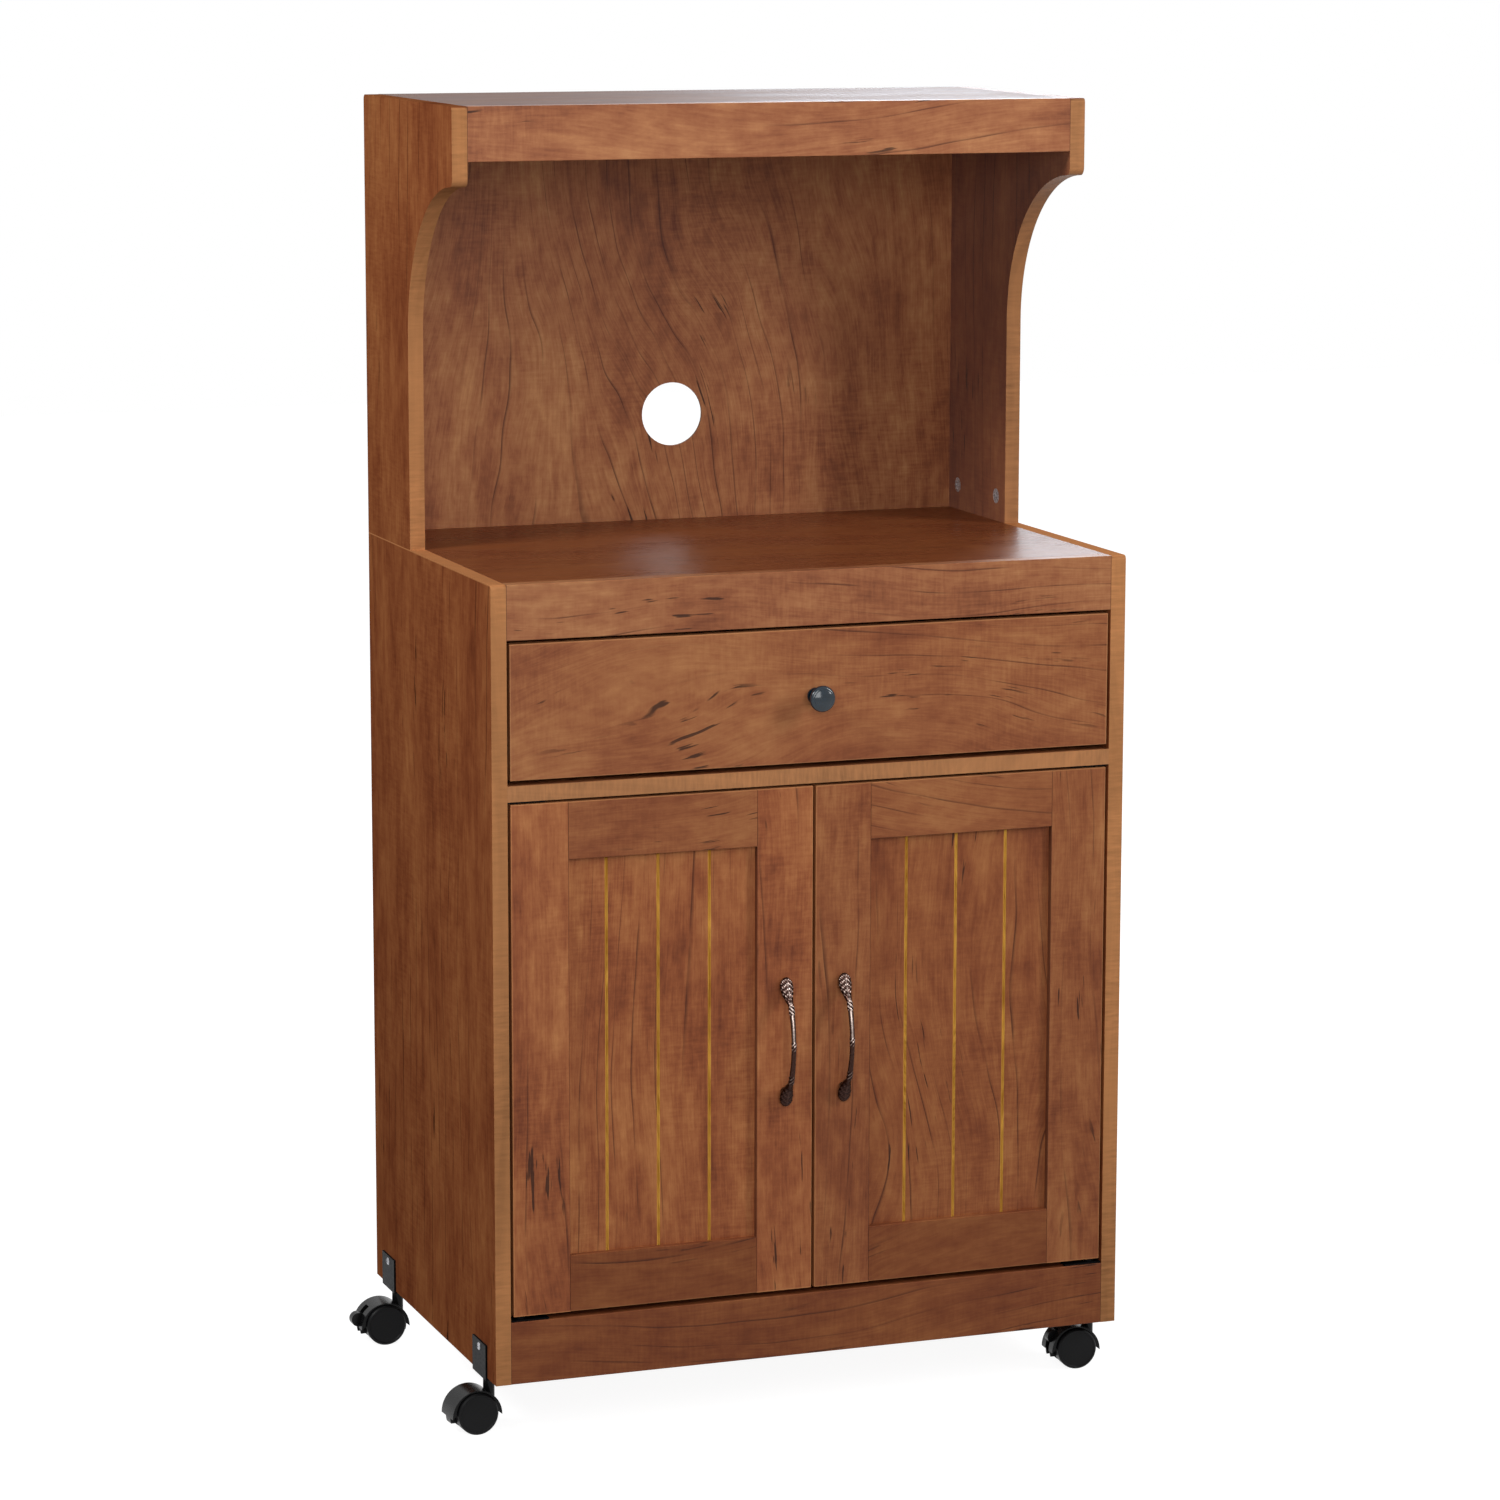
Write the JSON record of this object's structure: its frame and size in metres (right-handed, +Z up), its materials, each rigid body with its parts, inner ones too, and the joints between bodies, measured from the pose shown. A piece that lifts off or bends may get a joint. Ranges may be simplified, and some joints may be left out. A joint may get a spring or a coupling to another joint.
{
  "type": "microwave cart",
  "caption": "Rolling wooden microwave cart: an open hutch over a worktop, a drawer, and two panelled doors over a cabinet with a shelf, on swivel casters.",
  "frame": {"origin": "on the floor under the centre of the cart's bounding box", "axes": "+Z up; -Y is the front, where the drawer and doors open; +X to the right of a person facing the front"},
  "size_m": [0.6808, 0.4374, 1.242],
  "materials": {
    "cabinet_laminate": "satin printed wood-grain laminate",
    "panel_laminate": "satin printed wood-grain laminate",
    "drawer_box_laminate": "matt printed laminate",
    "raw_wood": "raw beech",
    "bright_steel": "zinc plated",
    "coated_steel": "white powder coat",
    "roller_plastic": "white nylon",
    "antique_bronze": "dark antique finish, rubbed bright on the edges",
    "knob_gloss": "gloss blue-black",
    "black_steel": "satin black",
    "caster_plastic": "semi-gloss black nylon",
    "wheel_plastic": "black nylon"
  },
  "bodies": {
    "cabinet": {"base_left_side": "cabinet_laminate", "base_right_side": "cabinet_laminate", "worktop": "cabinet_laminate", "front_rail": "cabinet_laminate", "divider_shelf": "cabinet_laminate", "cabinet_floor": "cabinet_laminate", "toe_rail": "cabinet_laminate", "base_back": "panel_laminate", "adjustable_shelf": "cabinet_laminate", "shelf_pins": "bright_steel", "hutch_left_side": "cabinet_laminate", "hutch_right_side": "cabinet_laminate", "hutch_top": "cabinet_laminate", "hutch_rail": "cabinet_laminate", "hutch_back": "panel_laminate", "cam_locks": "bright_steel", "cam_bolts": "bright_steel", "dowels": "raw_wood", "door_pivot_plates": "bright_steel", "slide_channels": "coated_steel", "caster_brackets": "black_steel", "bracket_screws": "bright_steel", "caster_stems": "bright_steel"},
    "front_slide_rollers": {"slide_front_rollers": "roller_plastic"},
    "drawer": {"drawer_front": "cabinet_laminate", "drawer_sides": "drawer_box_laminate", "drawer_back": "drawer_box_laminate", "drawer_bottom": "drawer_box_laminate", "drawer_runners": "coated_steel", "drawer_knob": "knob_gloss", "knob_screw": "bright_steel"},
    "rear_slide_rollers": {"slide_rear_rollers": "roller_plastic"},
    "left_door": {"left_door_stiles": "cabinet_laminate", "left_door_rails": "cabinet_laminate", "left_door_panel": "panel_laminate", "left_pull": "antique_bronze", "left_pull_screws": "bright_steel"},
    "right_door": {"right_door_stiles": "cabinet_laminate", "right_door_rails": "cabinet_laminate", "right_door_panel": "panel_laminate", "right_pull": "antique_bronze", "right_pull_screws": "bright_steel"},
    "front_left_caster": {"front_left_hood": "caster_plastic", "front_left_axle": "bright_steel"},
    "front_left_wheel_a": {"front_left_wheel_a": "wheel_plastic"},
    "front_left_wheel_b": {"front_left_wheel_b": "wheel_plastic"},
    "front_right_caster": {"front_right_hood": "caster_plastic", "front_right_axle": "bright_steel"},
    "front_right_wheel_a": {"front_right_wheel_a": "wheel_plastic"},
    "front_right_wheel_b": {"front_right_wheel_b": "wheel_plastic"},
    "front_right_lock": {"front_right_lock_lever": "caster_plastic"},
    "rear_left_caster": {"rear_left_hood": "caster_plastic", "rear_left_axle": "bright_steel"},
    "rear_left_wheel_a": {"rear_left_wheel_a": "wheel_plastic"},
    "rear_left_wheel_b": {"rear_left_wheel_b": "wheel_plastic"},
    "rear_left_lock": {"rear_left_lock_lever": "caster_plastic"},
    "rear_right_caster": {"rear_right_hood": "caster_plastic", "rear_right_axle": "bright_steel"},
    "rear_right_wheel_a": {"rear_right_wheel_a": "wheel_plastic"},
    "rear_right_wheel_b": {"rear_right_wheel_b": "wheel_plastic"}
  },
  "joints": [
    {"name": "drawer_slide", "type": "slide", "parent": "cabinet", "child": "drawer", "axis": [0, -1, 0], "range_m": [0, 0.26]},
    {"name": "front_slide_roller_spin", "type": "hinge", "parent": "cabinet", "child": "front_slide_rollers", "pos_m": [0.0191, -0.1523, 0.6519], "axis": [1, 0, 0], "continuous": true},
    {"name": "rear_slide_roller_spin", "type": "hinge", "parent": "drawer", "child": "rear_slide_rollers", "pos_m": [0.0191, 0.1397, 0.6503], "axis": [1, 0, 0], "continuous": true},
    {"name": "left_door_hinge", "type": "hinge", "parent": "cabinet", "child": "left_door", "pos_m": [-0.2724, -0.1828, 0.3644], "axis": [0, 0, -1], "range_deg": [0, 100]},
    {"name": "right_door_hinge", "type": "hinge", "parent": "cabinet", "child": "right_door", "pos_m": [0.3106, -0.1828, 0.3644], "axis": [0, 0, 1], "range_deg": [0, 100]},
    {"name": "front_left_swivel", "type": "hinge", "parent": "cabinet", "child": "front_left_caster", "pos_m": [-0.2909, -0.1423, 0.04], "axis": [0, 0, 1], "continuous": true},
    {"name": "front_left_wheel_a_spin", "type": "hinge", "parent": "front_left_caster", "child": "front_left_wheel_a", "pos_m": [-0.30806, -0.1435, 0.02], "axis": [-0.0698, 0.9976, 0], "continuous": true},
    {"name": "front_left_wheel_b_spin", "type": "hinge", "parent": "front_left_caster", "child": "front_left_wheel_b", "pos_m": [-0.30806, -0.1435, 0.02], "axis": [-0.0698, 0.9976, 0], "continuous": true},
    {"name": "front_right_swivel", "type": "hinge", "parent": "cabinet", "child": "front_right_caster", "pos_m": [0.3291, -0.1423, 0.04], "axis": [0, 0, 1], "continuous": true},
    {"name": "front_right_wheel_a_spin", "type": "hinge", "parent": "front_right_caster", "child": "front_right_wheel_a", "pos_m": [0.31193, -0.14125, 0.02], "axis": [0.061, 0.9981, 0], "continuous": true},
    {"name": "front_right_wheel_b_spin", "type": "hinge", "parent": "front_right_caster", "child": "front_right_wheel_b", "pos_m": [0.31193, -0.14125, 0.02], "axis": [0.061, 0.9981, 0], "continuous": true},
    {"name": "front_right_lock_tilt", "type": "hinge", "parent": "front_right_caster", "child": "front_right_lock", "pos_m": [0.29966, -0.1405, 0.015], "axis": [0.061, 0.9981, 0], "range_deg": [-28, 0]},
    {"name": "rear_left_swivel", "type": "hinge", "parent": "cabinet", "child": "rear_left_caster", "pos_m": [-0.2909, 0.1677, 0.04], "axis": [0, 0, 1], "continuous": true},
    {"name": "rear_left_wheel_a_spin", "type": "hinge", "parent": "rear_left_caster", "child": "rear_left_wheel_a", "pos_m": [-0.3081, 0.1674, 0.02], "axis": [-0.0175, 0.9998, 0], "continuous": true},
    {"name": "rear_left_wheel_b_spin", "type": "hinge", "parent": "rear_left_caster", "child": "rear_left_wheel_b", "pos_m": [-0.3081, 0.1674, 0.02], "axis": [-0.0175, 0.9998, 0], "continuous": true},
    {"name": "rear_left_lock_tilt", "type": "hinge", "parent": "rear_left_caster", "child": "rear_left_lock", "pos_m": [-0.3204, 0.16719, 0.015], "axis": [-0.0175, 0.9998, 0], "range_deg": [0, 28]},
    {"name": "rear_right_swivel", "type": "hinge", "parent": "cabinet", "child": "rear_right_caster", "pos_m": [0.3291, 0.1677, 0.04], "axis": [0, 0, 1], "continuous": true},
    {"name": "rear_right_wheel_a_spin", "type": "hinge", "parent": "rear_right_caster", "child": "rear_right_wheel_a", "pos_m": [0.31199, 0.1659, 0.02], "axis": [-0.1045, 0.9945, 0], "continuous": true},
    {"name": "rear_right_wheel_b_spin", "type": "hinge", "parent": "rear_right_caster", "child": "rear_right_wheel_b", "pos_m": [0.31199, 0.1659, 0.02], "axis": [-0.1045, 0.9945, 0], "continuous": true}
  ],
  "couplings": [
    {"joint": "front_slide_roller_spin", "follows": "drawer_slide", "rad_per_m": 111.11},
    {"joint": "rear_slide_roller_spin", "follows": "drawer_slide", "rad_per_m": 111.11}
  ]
}
